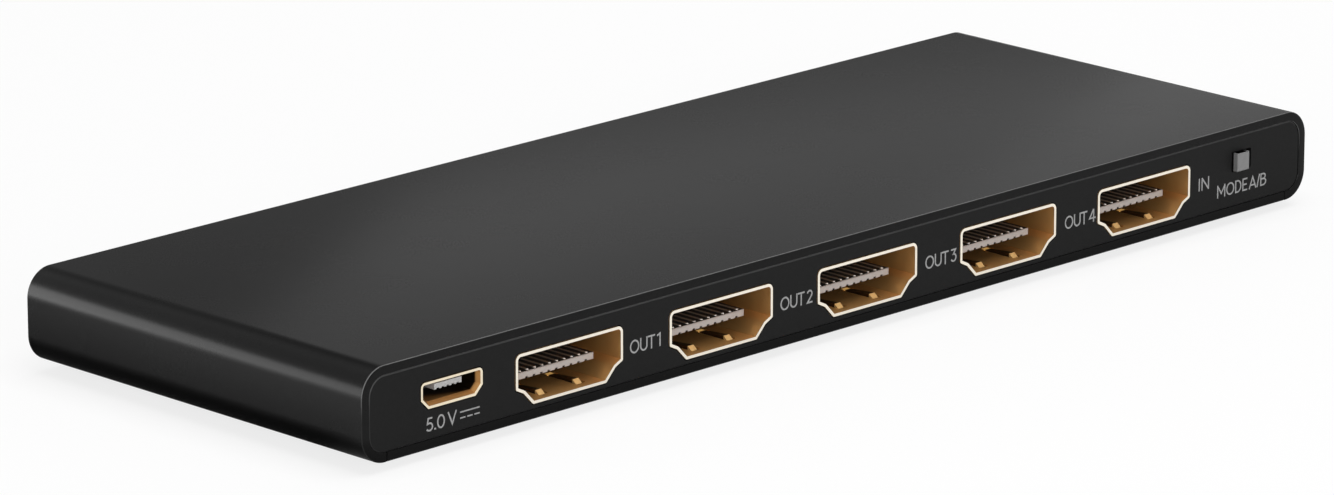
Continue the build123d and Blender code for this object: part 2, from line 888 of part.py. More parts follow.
def small_capacitors():
    """Small capacitors in rows along two sides of the main chip."""
    x, y = in_area(main_chip_share)
    reach = main_chip_width / 2 + capacitor_gap
    row = places(capacitors_per_side, small_spacing)
    spots = [(x + side * reach, y + dy) for side in (-1, 1) for dy in row]
    return group(block_on(cx, cy, board_top, small_width, small_length, small_height) for cx, cy in spots)


def light_places():
    """One status light behind each video socket's place, at the back."""
    return video_centres


def guide_rod(x, inner_end):
    """A round rod along y, from a depth inside the case to the outside of the rear panel."""
    length = rear_panel_face - inner_end
    level = board_top + led_height / 2
    turned = Rot(90, 0, 0) * Cylinder(guide_diameter / 2, length)
    return Pos(x, (inner_end + rear_panel_face) / 2, level) * turned


def light_guides():
    """Clear rods, pressed into the rear panel, that bring the light out."""
    return group(guide_rod(x, rear_panel_inner - guide_reach) for x in light_places())


def status_leds():
    """Side-facing lights on the board, just inside the guides."""
    y = rear_panel_inner - guide_reach - led_gap - led_length / 2
    return group(block_on(x, y, board_top, led_width, led_length, led_height) for x in light_places())


nodes = {
    "case_sleeve": case_sleeve(),
    "bottom_cover": bottom_cover(),
    "front_panel": front_panel(),
    "rear_panel": rear_panel(),
    "rubber_feet": rubber_feet(),
    "cover_screws": cover_screws(),
    "board_screws": board_screws(),
    "standoffs": standoffs(),
    "insulating_sheet": insulating_sheet(),
    "circuit_board": circuit_board(),
    "power_socket_shell": power_socket_shell(),
    "power_socket_insulator": power_socket_insulator(),
    "power_socket_contacts": power_socket_contacts(),
    "switch_cover": switch_cover(),
    "switch_base": switch_base(),
    "switch_terminals": switch_terminals(),
    "switch_knob": switch_knob(),
    "switch_wiper": switch_wiper(),
    "splitter_chip": splitter_chip(),
    "thermal_pad": thermal_pad(),
    "memory_chips": memory_chips(),
    "firmware_chip": firmware_chip(),
    "chip_leads": chip_leads(),
    "regulator_chips": regulator_chips(),
    "inductor_cores": inductor_cores(),
    "inductor_coils": inductor_coils(),
    "tank_capacitors": tank_capacitors(),
    "crystal": crystal(),
    "guard_chips": guard_chips(),
    "small_resistors": small_resistors(),
    "small_capacitors": small_capacitors(),
    "status_leds": status_leds(),
    "light_guides": light_guides(),
}

socket_names = ["out1", "out2", "out3", "out4", "in"]
socket_parts = {"shell": video_shell(), "insulator": video_insulator(), "contacts": video_contacts()}
for name, centre in zip(socket_names, video_centres):
    for part_name, solid in socket_parts.items():
        nodes[f"{name}_{part_name}"] = Pos(centre, 0, 0) * solid

for node_name, shape in nodes.items():
    export_step(shape, f"parts/{node_name}.step")
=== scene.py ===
# %% [markdown]
# # A slim video splitter on a pale floor
#
# The splitter is a flat black metal box with a row of gold-lined sockets along its front.
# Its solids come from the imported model, which holds every piece at its real size. This file
# adds what a camera sees: smooth rounded metal, printed words, and a finish on every piece.
# All lengths are in metres, and one millimetre is written as MM.

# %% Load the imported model
import math

import bpy
import numpy as np
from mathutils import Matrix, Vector


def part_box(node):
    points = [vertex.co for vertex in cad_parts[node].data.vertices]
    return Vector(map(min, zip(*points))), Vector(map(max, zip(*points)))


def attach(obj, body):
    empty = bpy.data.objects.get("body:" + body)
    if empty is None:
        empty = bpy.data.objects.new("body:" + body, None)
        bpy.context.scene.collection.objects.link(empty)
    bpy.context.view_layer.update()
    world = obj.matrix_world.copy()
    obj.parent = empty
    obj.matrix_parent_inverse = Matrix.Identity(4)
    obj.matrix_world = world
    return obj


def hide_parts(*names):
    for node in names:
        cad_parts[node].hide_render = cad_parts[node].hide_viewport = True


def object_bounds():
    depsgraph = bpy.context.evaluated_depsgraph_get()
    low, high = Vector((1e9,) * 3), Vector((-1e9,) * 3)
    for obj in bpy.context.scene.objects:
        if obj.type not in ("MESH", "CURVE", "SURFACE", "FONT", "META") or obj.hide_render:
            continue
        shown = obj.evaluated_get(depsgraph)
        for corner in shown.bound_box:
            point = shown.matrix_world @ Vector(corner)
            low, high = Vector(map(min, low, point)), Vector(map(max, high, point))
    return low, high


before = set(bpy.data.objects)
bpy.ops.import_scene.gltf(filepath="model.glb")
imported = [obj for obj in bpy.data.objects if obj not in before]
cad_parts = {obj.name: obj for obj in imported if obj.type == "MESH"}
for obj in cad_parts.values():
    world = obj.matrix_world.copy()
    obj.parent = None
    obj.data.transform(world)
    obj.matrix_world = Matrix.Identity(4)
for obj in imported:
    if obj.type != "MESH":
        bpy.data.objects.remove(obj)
cad_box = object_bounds()
nodes = dict(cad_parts)
MM = 0.001
span = np.round(np.subtract(*cad_box[::-1]) / MM, 2)
print(len(nodes), "pieces in the packed model, which spans", span, "mm")

# %% [markdown]
# ## Surfaces from arrays
#
# A shape here is a grid of points: one direction runs along a path, and the other round a
# profile. Working on whole arrays keeps each shape down to its formula. The grid is then
# joined into four-sided faces, and open ends are closed with one flat face each.


# %% Grid of points to mesh
def grid_faces(rows, columns, wrap_rows=False, wrap_columns=False):
    """Corner numbers of the quads between neighbours on a grid, as one array."""
    number = np.arange(rows * columns).reshape(rows, columns)
    if wrap_rows:
        number = np.vstack([number, number[:1]])
    if wrap_columns:
        number = np.hstack([number, number[:, :1]])
    quads = np.stack([number[:-1, :-1], number[1:, :-1], number[1:, 1:], number[:-1, 1:]], -1)
    return quads.reshape(-1, 4)


def sweep_parts(grid, wrap=False):
    """Points and faces of a closed profile (the columns) carried along a path (the rows)."""
    rows, columns = grid.shape[:2]
    faces = grid_faces(rows, columns, wrap_rows=wrap, wrap_columns=True).tolist()
    if not wrap:
        first = list(range(columns))
        faces += [first, [(rows - 1) * columns + k for k in first[::-1]]]
    return grid.reshape(-1, 3), faces


def piece_from(name, parts, smooth_degrees=30):
    """One mesh object from several point and face lists, smooth where its faces meet gently."""
    points, faces, start = [], [], 0
    for part_points, part_faces in parts:
        points.append(part_points)
        faces += [[start + k for k in face] for face in part_faces]
        start += len(part_points)
    mesh = bpy.data.meshes.new(name)
    mesh.from_pydata(np.vstack(points).tolist(), [], faces)
    mesh.validate()
    mesh.shade_smooth()
    mesh.set_sharp_from_angle(angle=math.radians(smooth_degrees))
    piece = bpy.data.objects.new(name, mesh)
    bpy.context.scene.collection.objects.link(piece)
    print(name, len(mesh.polygons), "faces")
    return piece


# %% [markdown]
# ## The sleeve
#
# The real case is an extrusion: a C-shaped wall with large round corners, cut to length and
# then broken at its edges. On satin metal a corner made of flat strips shows each strip, so
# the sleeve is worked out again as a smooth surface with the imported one's exact sizes. Its
# path is the outside of the C, and its profile is the wall's section along the depth.

# %% The sleeve's path and profile
case_low, case_high = (np.array(corner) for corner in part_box("case_sleeve"))
panel_low, panel_high = (np.array(corner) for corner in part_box("front_panel"))
corner_radius = 2.95 * MM
mouth_wall = panel_low[2] - case_low[2]
rebate_step = 0.38 * MM
thick_wall = mouth_wall + rebate_step
rebate_spare = 0.05 * MM
rebate_depth = panel_high[1] - case_low[1] + rebate_spare
edge_radius = 0.12 * MM
mouth_bevel = 0.04 * MM
seam_gap = 0.15 * MM
seam_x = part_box("bottom_cover")[1][0] + seam_gap


def arc_points(centre, radius, start, stop, steps):
    """Points on a circle: centre + radius (cos a, sin a), with a in degrees from start to stop."""
    angle = np.radians(np.linspace(start, stop, steps + 1))
    return np.array(centre) + radius * np.stack([np.cos(angle), np.sin(angle)], -1)


def sleeve_path(steps=28, guard=0.15 * MM):
    """Outside of the C in x and z, and its inward normals, from seam to seam.

    Each corner is a quarter circle. A point a little before and after each corner keeps
    the shading of the flats flat.
    """
    x = case_high[0] - corner_radius
    low, high = case_low[2] + corner_radius, case_high[2] - corner_radius
    centres = [(-x, low, 270), (-x, high, 180), (x, high, 90), (x, low, 0)]
    points, normals = [], []
    for cx, cz, start in centres:
        arc = arc_points((cx, cz), corner_radius, start, start - 90, steps)
        inward = (np.array([cx, cz]) - arc) / corner_radius
        along = np.stack([-inward[:, 1], inward[:, 0]], -1)
        arc = np.vstack([arc[0] - guard * along[0], arc, arc[-1] + guard * along[-1]])
        points.append(arc)
        normals.append(np.vstack([inward[:1], inward, inward[-1:]]))
    seam = np.array([seam_x, case_low[2]])
    points = np.vstack([[seam * [-1, 1]], *points, [seam]])
    normals = np.vstack([[[0, 1]], *normals, [[0, 1]]])
    return points, normals


def wall_profile():
    """The wall's section as distance inward from the outside, and depth y, going round once.

    Both ends have a rounded outer edge, a fine bevel round the mouth, and a rebate where a
    panel sits.
    """
    front, back, r = case_low[1], case_high[1], edge_radius
    nose = arc_points((r, front + r), r, 180, 270, 4)
    tail = arc_points((r, back - r), r, 90, 180, 4)
    lip = mouth_wall - mouth_bevel
    stop, stop_back = front + rebate_depth, back - rebate_depth
    mouth = [(lip, front), (mouth_wall, front + mouth_bevel), (mouth_wall, stop)]
    inside = [(thick_wall, stop), (thick_wall, stop_back)]
    mouth_back = [(mouth_wall, stop_back), (mouth_wall, back - mouth_bevel), (lip, back)]
    return np.vstack([nose, mouth, inside, mouth_back, tail])


def sleeve_surface():
    """Each point is a path point moved inward by the profile's first value, at its depth."""
    path, inward = sleeve_path()
    section = wall_profile()
    xz = path[:, None, :] + inward[:, None, :] * section[None, :, :1]
    y = np.broadcast_to(section[None, :, 1], xz.shape[:2])
    return np.stack([xz[..., 0], y, xz[..., 1]], -1)


sleeve = piece_from("smooth_sleeve", [sweep_parts(sleeve_surface())])
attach(sleeve, "case")
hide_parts("case_sleeve")

# %% [markdown]
# ## Printed words
#
# The panel is printed in a thin round lettering with one line width. A font would bring its
# own shapes, so each letter is drawn as a few lines and arcs through the middle of the
# stroke, in shares of the letter's height. A ribbon of constant width is then carried along
# each of them, with mitred corners, and given the thickness of a layer of ink.

# %% Ribbons of ink
panel_face = panel_low[1]
ink_thickness = 0.012 * MM
ink_step = 0.0015 * MM
ink_sink = 0.006 * MM
letter_height = 1.39 * MM
stroke_share = 0.122
half_stroke = stroke_share / 2
stroke_width = stroke_share * letter_height


def ribbon(path, width, closed=False):
    """Left and right edges of a line of constant width, mitred at its corners.

    Complex numbers hold the points: a step times 1j is the step's normal, and the mitre of
    two unit normals a and b is (a + b) / (1 + a.b).
    """
    p = np.asarray(path)[:, 0] + 1j * np.asarray(path)[:, 1]
    steps = np.diff(np.append(p, p[0]) if closed else p)
    normal = 1j * steps / np.abs(steps)
    before = np.concatenate([normal[-1:] if closed else normal[:1], normal[:-1] if closed else normal])
    after = normal if closed else np.concatenate([normal, normal[-1:]])
    mitre = (before + after) / (1 + (before * after.conj()).real)
    edges = np.stack([p + mitre * width / 2, p - mitre * width / 2])
    return np.stack([edges.real, edges.imag], -1)


def ink_parts(path, width, layer=0, closed=False):
    """A ribbon as a thin closed band on the panel's face, facing -Y.

    Each layer lies a hair proud of the one before, so that strokes which cross never share
    a plane.
    """
    left, right = ribbon(path, width, closed)
    front, back = panel_face - ink_thickness - layer * ink_step, panel_face + ink_sink
    rails = [(left, front), (right, front), (right, back), (left, back)]
    ring = np.stack([np.insert(edge, 1, y, axis=1) for edge, y in rails], 1)
    return sweep_parts(ring, wrap=closed)


# %% [markdown]
# A letter is its width, the space that it keeps on either side, and its strokes, all in
# shares of the letter's height. Round strokes are parts of an ellipse.


# %% Letters
def bow(x, z, rx, rz, start, stop, steps=20):
    """Part of an ellipse through the angles from start to stop, in degrees."""
    return arc_points((0, 0), 1, start, stop, steps) * [rx, rz] + [x, z]


def joined(*runs):
    """Points and arcs one after the other, as one line."""
    return np.vstack([np.atleast_2d(run) for run in runs])


def letters():
    """Each letter's width, its space on the left and right, and its strokes with a closed mark."""
    h, top = half_stroke, 1 - half_stroke
    full = 0.5 - h
    table = {}
    table["O"] = 0.92, 0.02, 0.02, [(bow(0.46, 0.5, 0.46 - h, full, 90, 450, 40)[:-1], True)]
    table["0"] = 0.74, 0.05, 0.05, [(bow(0.37, 0.5, 0.37 - h, full, 90, 450, 36)[:-1], True)]
    curve = bow(0.37, 0.37, 0.37 - h, 0.37 - h, 180, 360)
    table["U"] = 0.74, 0.065, 0.06, [(joined((h, 1), curve, (0.74 - h, 1)), False)]
    table["T"] = 0.70, -0.02, -0.02, [(joined((0, top), (0.70, top)), False)]
    table["T"][3].append((joined((0.35, top), (0.35, 0)), False))
    table["1"] = 0.38, 0.0, 0.1, [(joined((0.02, 0.82), (0.38 - h, 0.955), (0.38 - h, 0)), False)]
    curve = bow(0.30, 0.70, 0.30 - h, 0.30 - h, 165, -38)
    table["2"] = 0.60, 0.04, 0.05, [(joined(curve, (0.085, h), (0.60, h)), False)]
    curve = bow(0.30, 0.335, 0.33 - h, 0.335 - h, 95, -152)
    table["3"] = 0.62, 0.05, 0.05, [(joined((0.03, top), (0.52, top), (0.29, 0.60), curve[1:]), False)]
    slope = joined((0.52, 0.985), (0.08, 0.31), (0.76, 0.31))
    table["4"] = 0.76, 0.0, 0.05, [(slope, False), (joined((0.53, 1), (0.53, 0)), False)]
    curve = bow(0.29, 0.325, 0.35 - h, 0.325 - h, 128, -148)
    table["5"] = 0.64, 0.04, 0.05, [(joined((0.56, top), (0.18, top), (0.105, 0.545), curve[1:]), False)]
    table["."] = 0.17, 0.05, 0.05, [(joined((0.0, 0.085), (0.17, 0.085)), False)]
    table["V"] = 0.89, 0.0, 0.0, [(joined((h, 1), (0.445, 0.1), (0.89 - h, 1)), False)]
    table["I"] = 2 * h, 0.1, 0.1, [(joined((h, 0), (h, 1)), False)]
    table["N"] = 0.86, 0.1, 0.1, [(joined((x, 0), (x, 1)), False) for x in (h, 0.86 - h)]
    table["N"][3].append((joined((h, 0.96), (0.86 - h, 0.04)), False))
    table["M"] = 0.94, 0.1, 0.09, [(joined((x, 0), (x, 1)), False) for x in (h, 0.94 - h)]
    table["M"][3].append((joined((h, 0.93), (0.47, 0.32), (0.94 - h, 0.93)), False))
    curve = bow(0.26, 0.5, 0.72 - h - 0.26, full, 90, -90)
    table["D"] = 0.72, 0.09, 0.03, [(joined((h, top), curve, (h, h)), True)]
    bars = [(joined((h, z), (x, z)), False) for z, x in ((h, 0.56), (0.5, 0.50), (top, 0.56))]
    table["E"] = 0.56, 0.09, 0.03, [(joined((h, 0), (h, 1)), False), *bars]
    table["A"] = 0.84, -0.02, 0.0, [(joined((h / 2, 0), (0.42, 0.92), (0.84 - h / 2, 0)), False)]
    table["A"][3].append((joined((0.18, 0.29), (0.66, 0.29)), False))
    table["/"] = 0.30, 0.06, 0.04, [(joined((h / 2, 0), (0.34 - h / 2, 1)), False)]
    upper = bow(0.32, 0.745, 0.24, top - 0.745, 90, -90, 12)
    lower = bow(0.34, 0.305, 0.29, 0.305 - h, 90, -90, 12)
    table["B"] = 0.69, 0.08, 0.04, [(joined((h, top), upper, (h, 0.55)), False)]
    table["B"][3].extend([(joined((h, 0.55), lower, (h, h)), False), (joined((h, 0), (h, 1)), False)])
    table[" "] = 0.20, 0.0, 0.0, []
    return table


# %% [markdown]
# A word is its letters side by side on one base line. The words for the sockets are placed
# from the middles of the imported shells.

# %% Words on the panel
alphabet = letters()
socket_names = ["out1", "out2", "out3", "out4", "in"]


def middle_x(name):
    """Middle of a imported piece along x."""
    return sum(corner[0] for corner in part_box(name)) / 2


socket_middle = {name: middle_x(f"{name}_shell") for name in socket_names}


def word_width(text):
    """Width of a word from the outside of its first letter to the outside of its last."""
    spread = sum(alphabet[c][0] + alphabet[c][1] + alphabet[c][2] for c in text)
    return (spread - alphabet[text[0]][1] - alphabet[text[-1]][2]) * letter_height


def printed(name, text, left, base, extra=()):
    """One printed word as a piece, from the outside left of its first letter and its base line."""
    parts, x = [], left - alphabet[text[0]][1] * letter_height
    for letter in text:
        width, before, after, strokes = alphabet[letter]
        start = np.array([x + before * letter_height, base])
        for layer, (path, closed) in enumerate(strokes):
            parts.append(ink_parts(start + path * letter_height, stroke_width, layer, closed))
        x += (width + before + after) * letter_height
    parts += extra
    piece = piece_from(name, parts)
    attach(piece, "case")
    return piece


# Each word's base line and left edge. The edge is counted from the middle of the socket
# that the word names, and drifts a little further out from each output to the next. The
# mode's word stands about a middle of its own.
out_base, out_left = 4.72 * MM, 8.22 * MM
out_drift = 0.135 * MM
in_base, in_left = 4.70 * MM, 8.66 * MM
mode_base, mode_middle = 3.35 * MM, 58.3 * MM
words = []
for k, name in enumerate(socket_names[:-1]):
    left = socket_middle[name] + out_left + k * out_drift
    words.append(printed(f"{name}_words", f"OUT {k + 1}", left, out_base))
words.append(printed("in_words", "IN", socket_middle["in"] + in_left, in_base))
mode_left = mode_middle - word_width("MODE A/B") / 2
words.append(printed("mode_words", "MODE A/B", mode_left, mode_base))

# %% [markdown]
# The supply mark has the usual sign for direct current: one long line over three dashes.

# %% The supply mark
supply_base, supply_left = 2.80 * MM, -60.14 * MM
line_width = 0.14 * MM
line_left, line_right = -55.70 * MM, -53.13 * MM
line_z, dash_z = 3.83 * MM, 3.24 * MM
dash_share = 0.27
dash_length = (line_right - line_left) * dash_share
dash_starts = np.linspace(line_left, line_right - dash_length, 3)
lines = [[(line_left, line_z), (line_right, line_z)]]
lines += [[(x, dash_z), (x + dash_length, dash_z)] for x in dash_starts]
sign = [ink_parts(line, line_width) for line in lines]
words.append(printed("supply_words", "5.0 V", supply_left, supply_base, extra=sign))

# %% [markdown]
# ## Finishes
#
# Every material is worked out from numbers, so it has no picture and no seams. A material's
# tree is easier to read as arithmetic than as a web of nodes, so one small class wraps a
# socket: adding or multiplying two of them adds the Math node that does it.


# %% Arithmetic on sockets
class Value:
    """One output of a material's tree. Python's operators add the Math nodes behind them."""

    def __init__(self, socket):
        self.socket = socket

    def node(self, kind, settings=None, inputs=None, output=0):
        """Adds any node: its settings, a ramp's stops among them, and then its inputs."""
        tree = self.socket.id_data
        node = tree.nodes.new(kind)
        settings = dict(settings or {})
        stops = settings.pop("stops", None)
        for key, value in settings.items():
            setattr(node, key, value)
        if stops:
            ramp = node.color_ramp.elements
            while len(ramp) < len(stops):
                ramp.new(1.0)
            for stop, (place, colour) in zip(ramp, stops):
                stop.position = place
                stop.color = (*colour, 1.0)
        for key, value in (inputs or {}).items():
            if isinstance(value, Value):
                tree.links.new(value.socket, node.inputs[key])
            else:
                node.inputs[key].default_value = value
        return Value(node.outputs[output])

    def math(self, operation, first, second=0.0):
        return self.node("ShaderNodeMath", {"operation": operation}, {0: first, 1: second})

    def __add__(self, other):
        return self.math("ADD", self, other)

    __radd__ = __add__

    def __sub__(self, other):
        return self.math("SUBTRACT", self, other)

    def __rsub__(self, other):
        return self.math("SUBTRACT", other, self)

    def __mul__(self, other):
        return self.math("MULTIPLY", self, other)

    __rmul__ = __mul__

    def __abs__(self):
        return self.math("ABSOLUTE", self)

    def over(self, limit):
        """How far this value is above a limit, and 0 below it."""
        return self.math("MAXIMUM", self - limit, 0.0)

    def rise(self, low, high):
        """0 below low and 1 above high, with a smooth change between."""
        settings = {"interpolation_type": "SMOOTHSTEP"}
        inputs = {"Value": self, "From Min": low, "From Max": high}
        return self.node("ShaderNodeMapRange", settings, inputs)

    def mix(self, first, second):
        """The first colour where this value is 0, and the second where it is 1."""
        ends = [end if isinstance(end, Value) else (*end, 1.0) for end in (first, second)]
        inputs = {0: self, 6: ends[0], 7: ends[1]}
        return self.node("ShaderNodeMix", {"data_type": "RGBA"}, inputs, output=2)


class Finish:
    """A material with one Principled shader, whose sockets take numbers or Values."""

    def __init__(self, name, **constants):
        self.material = bpy.data.materials.new(name)
        self.material.use_nodes = True
        self.tree = self.material.node_tree
        self.shader = self.tree.nodes["Principled BSDF"]
        self.place = Value(self.tree.nodes.new("ShaderNodeTexCoord").outputs["Object"])
        split = self.tree.nodes.new("ShaderNodeSeparateXYZ")
        self.tree.links.new(self.place.socket, split.inputs[0])
        self.x, self.y, self.z = (Value(socket) for socket in split.outputs)
        for socket, value in constants.items():
            self.set(socket.replace("_", " "), value)

    def set(self, socket, value):
        target = self.shader.inputs[socket]
        if isinstance(value, Value):
            self.tree.links.new(value.socket, target)
        elif target.type == "RGBA":
            target.default_value = (*value, 1.0)
        else:
            target.default_value = value

    def noise(self, size, detail=2.0):
        """Cloudy noise from 0 to 1 whose patches are about size metres across."""
        inputs = {"Vector": self.place, "Scale": 1.0 / size, "Detail": detail}
        return self.place.node("ShaderNodeTexNoise", {}, inputs)

    def cells(self, size, feature="F1"):
        """Distance to the nearest of many scattered points that are about size metres apart."""
        inputs = {"Vector": self.place, "Scale": 1.0 / size}
        return self.place.node("ShaderNodeTexVoronoi", {"feature": feature}, inputs)

    def bump(self, height, depth):
        """Bends the shading by a height from 0 to 1 that stands depth metres high."""
        inputs = {"Height": height, "Distance": depth, "Strength": 1.0}
        self.set("Normal", self.place.node("ShaderNodeBump", {}, inputs))


def grey(level):
    """The same amount of red, green and blue."""
    return (level, level, level)


def dress(finish, *names):
    """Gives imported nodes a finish."""
    for name in names:
        node = nodes.pop(name)
        node.data.materials.clear()
        node.data.materials.append(finish.material)


# %% [markdown]
# ## Black metal
#
# The case is aluminium, blasted to a fine grain and dyed black, which leaves a satin skin.
# The flat panels have the same dye over a flatter grain. The grain is far finer than a
# pixel at this distance, so it shows as softness, with slow clouds of slightly duller skin.
# Each broken edge carries a painted highlight: a thin line of lighter grey, strongest at the
# top. The line needs no drawing: it is where the surface has left the flat face by a hair.
# The sides are sealed glossier than the top, which lets a weak lamp draw their bright band,
# and their lower curve is painted nearly black as painted shade.


# %% Anodised case and panels
def anodised(name, level, roughness, gloss, grain_depth):
    """Dyed aluminium of a grey level, kept as skin and dulling for what is laid over it."""
    finish = Finish(name, Specular_IOR_Level=gloss)
    clouds = finish.noise(9 * MM, detail=3.0)
    grain = finish.noise(0.11 * MM)
    speckle = finish.noise(0.35 * MM, detail=1.0)
    tone = clouds * 0.3 + speckle * 0.4 + 0.65
    finish.skin = tone.rise(0.6, 1.4).mix(grey(level * 0.75), grey(level * 1.25))
    finish.dulling = roughness - 0.03 + clouds * 0.04 + grain * 0.02
    finish.set("Roughness", finish.dulling)
    finish.bump(grain, grain_depth)
    return finish


def outline_distance(finish, low, high, radius):
    """Distance inward from a rounded box in x and z: it is 0 on the box and negative inside.

    With a = |x - middle| - half + radius and b the same in z, it is
    sqrt(max(a, 0)^2 + max(b, 0)^2) - radius wherever it is nearly 0.
    """
    squares = 0.0
    for value, k in ((finish.x, 0), (finish.z, 2)):
        past = abs(value - (low[k] + high[k]) / 2).over((high[k] - low[k]) / 2 - radius)
        squares = past * past + squares
    return squares.math("SQRT", squares) - radius


# Each pair is where a change begins and ends: how far an edge leaves its flat face, how far
# in the edge band ends, the heights between which the painted edge highlight grows to full
# and at which the painted shade of the lower curve stops, and how far inward of the side the
# seal starts.
leaving = 0.004 * MM, 0.03 * MM
edge_band = 0.08 * MM, 0.12 * MM
highlight_rise = 5.5 * MM, 9.2 * MM
curve_end = 2.9 * MM, 4.1 * MM
seal_start = -2.3 * MM, -1.3 * MM


def edge_highlight_share(finish, least):
    """How strong the painted edge highlight is at a height: a least share low down, and all at the top.
    """
    return least + (1.0 - least) * finish.z.rise(*highlight_rise)


satin = anodised("satin_black_case", level=0.0075, roughness=0.27, gloss=0.07, grain_depth=0.001 * MM)
half_depth = (case_high[1] - case_low[1]) / 2
from_end = half_depth - abs(satin.y - (case_low[1] + case_high[1]) / 2)
past_edge_band = from_end.rise(*edge_band)
# Painted highlight: a thin line of lighter grey, grey(0.13), along each broken edge of the sleeve,
# strongest at the top.
painted_edge_highlight = from_end.rise(*leaving) * (1.0 - past_edge_band) * edge_highlight_share(satin, least=0.12)
# Painted shade: the sleeve's lower curve is darkened to nearly black, grey(0.003).
lower_curve_painted_shade = 1.0 - satin.z.rise(*curve_end)
skin = lower_curve_painted_shade.mix(satin.skin, grey(0.003))
satin.set("Base Color", painted_edge_highlight.mix(skin, grey(0.13)))
satin.set("Roughness", satin.dulling - 0.15 * lower_curve_painted_shade)
side = (abs(satin.x) - case_high[0]).rise(*seal_start)
satin.set("Coat Weight", 0.8 * side * past_edge_band * (1.0 - lower_curve_painted_shade))
satin.set("Coat Roughness", 0.27)
sleeve.data.materials.append(satin.material)
dress(satin, "bottom_cover", "case_sleeve")

flat = anodised("flat_black_panel", level=0.008, roughness=0.5, gloss=0.1, grain_depth=0.0015 * MM)
outline = outline_distance(flat, panel_low, panel_high, corner_radius - mouth_wall)
# Painted highlight: a thin line of lighter grey, grey(0.07), round the panel's edge, strongest at the
# top.
edge = outline.rise(-0.15 * MM, -0.1 * MM) * (flat.y - panel_face).rise(*leaving)
edge = edge * edge_highlight_share(flat, least=0.35)
flat.set("Base Color", edge.mix(flat.skin, grey(0.07)))
dress(flat, "front_panel", "rear_panel")

# %% [markdown]
# The ink of the words is a flat grey that drifts a little from place to place.

# %% Ink
ink = Finish("grey_ink", Roughness=0.6, Specular_IOR_Level=0.3)
ink.set("Base Color", ink.noise(0.2 * MM).mix(grey(0.26), grey(0.31)))
for piece in words:
    piece.data.materials.append(ink.material)

# %% [markdown]
# ## Gold sockets
#
# A video socket is thin sheet, folded and plated. Its cut front edge is polished and nearly
# white, and the plating inside is a soft brown gold, painted darker deeper in as painted shade.
# A cavity of pure mirror would go black after a few bounces, and real plating doesn't, because
# it scatters part of the light, so this gold is a little less than fully metallic. The long
# slopes of the sprung fingers are painted dark as painted shade, and their tips and roots pale
# gold as painted highlights. The glint at their roots, in the shade under the tongue, is a
# painted glow.

# %% Socket shells
cut_edge = 0.01 * MM, 0.06 * MM
scatter, tip_scatter = 0.25, 0.2
shell_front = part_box("out1_shell")[0][1]
first_middle = socket_middle["out1"]
socket_pitch = (socket_middle["in"] - first_middle) / (len(socket_names) - 1)
finger_offset, finger_half = 2.52 * MM, 0.39 * MM
crest_y, root_y = shell_front + 1.86 * MM, shell_front + 5.3 * MM


def finger_mask(finish):
    """1 on the sprung fingers of every socket, and 0 between them.

    The sockets repeat along x, so x is first counted from the nearest socket's middle.
    """
    shifted = finish.x + (socket_pitch / 2 - first_middle)
    local = finish.x.math("FLOORED_MODULO", shifted, socket_pitch) - socket_pitch / 2
    return 1.0 - abs(abs(local) - finger_offset).rise(finger_half, finger_half + 0.04 * MM)


shell = Finish("gold_plated_shell")
inside = (shell.y - shell_front).rise(*cut_edge)
# Painted shade: the gold darkens deeper into the socket, from (0.88, 0.50, 0.18) to (0.51, 0.27, 0.085).
depth = (shell.y - shell_front + 1.5 * MM * shell.noise(1.5 * MM)).rise(0.0, 8 * MM)
gold = depth.mix((0.88, 0.50, 0.18), (0.51, 0.27, 0.085))
finger = finger_mask(shell)
past_crest = (shell.y - crest_y).rise(-0.03 * MM, 0.03 * MM)
past_root = (shell.y - root_y).rise(-0.25 * MM, 0.05 * MM)
# Painted shade on the fingers' long slopes, (0.10, 0.05, 0.02), and painted highlights on their tips and
# roots, (1.0, 0.70, 0.30).
painted_slope_shade = finger * past_crest * (1.0 - past_root)
painted_tip_highlight = finger * (1.0 - past_crest) * (shell.y - shell_front).rise(1.0 * MM, 1.1 * MM)
painted_root_highlight = finger * past_root * (1.0 - (shell.y - root_y).rise(0.4 * MM, 0.5 * MM))
tone = painted_slope_shade.mix(gold, (0.10, 0.05, 0.02))
tone = (painted_tip_highlight + painted_root_highlight).mix(tone, (1.0, 0.70, 0.30))
shell.set("Base Color", inside.mix((1.0, 0.93, 0.80), tone))
shell.set("Metallic", 1.0 - inside * scatter - painted_tip_highlight * tip_scatter - painted_root_highlight * tip_scatter)
shell.set("Roughness", 0.34 + 0.06 * shell.noise(0.5 * MM))
shell.bump(shell.noise(0.6 * MM), 0.004 * MM)
# Painted glow: the floor fingers' roots glow faintly gold in place of their glint.
painted_root_glow = painted_root_highlight * (1.0 - shell.z.rise(3.5 * MM, 4.0 * MM))
shell.set("Emission Color", painted_root_glow.mix(grey(0.0), (0.36, 0.20, 0.055)))
shell.set("Emission Strength", 1.0)
dress(shell, *[f"{name}_shell" for name in socket_names])

power_shell = Finish("power_socket_gold", Roughness=0.35)
into = power_shell.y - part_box("power_socket_shell")[0][1]
# Painted shade: the lining darkens inwards and to the right, to nearly black.
shade = into + 0.45 * (power_shell.x - middle_x("power_socket_shell"))
shade = shade.rise(0.3 * MM, 1.9 * MM) * into.rise(0.3 * MM, 0.75 * MM)
lining = shade.mix((0.42, 0.21, 0.065), (0.03, 0.017, 0.008))
power_inside = into.rise(*cut_edge)
power_shell.set("Base Color", power_inside.mix((0.95, 0.84, 0.64), lining))
power_shell.set("Metallic", 1.0 - scatter * power_inside)
dress(power_shell, "power_socket_shell")

# %% [markdown]
# The tongue is moulded in grey. Behind its cut front it is painted dark as painted shade, and
# the contacts lie on it as fine strips whose bent tips are painted white as painted highlights.

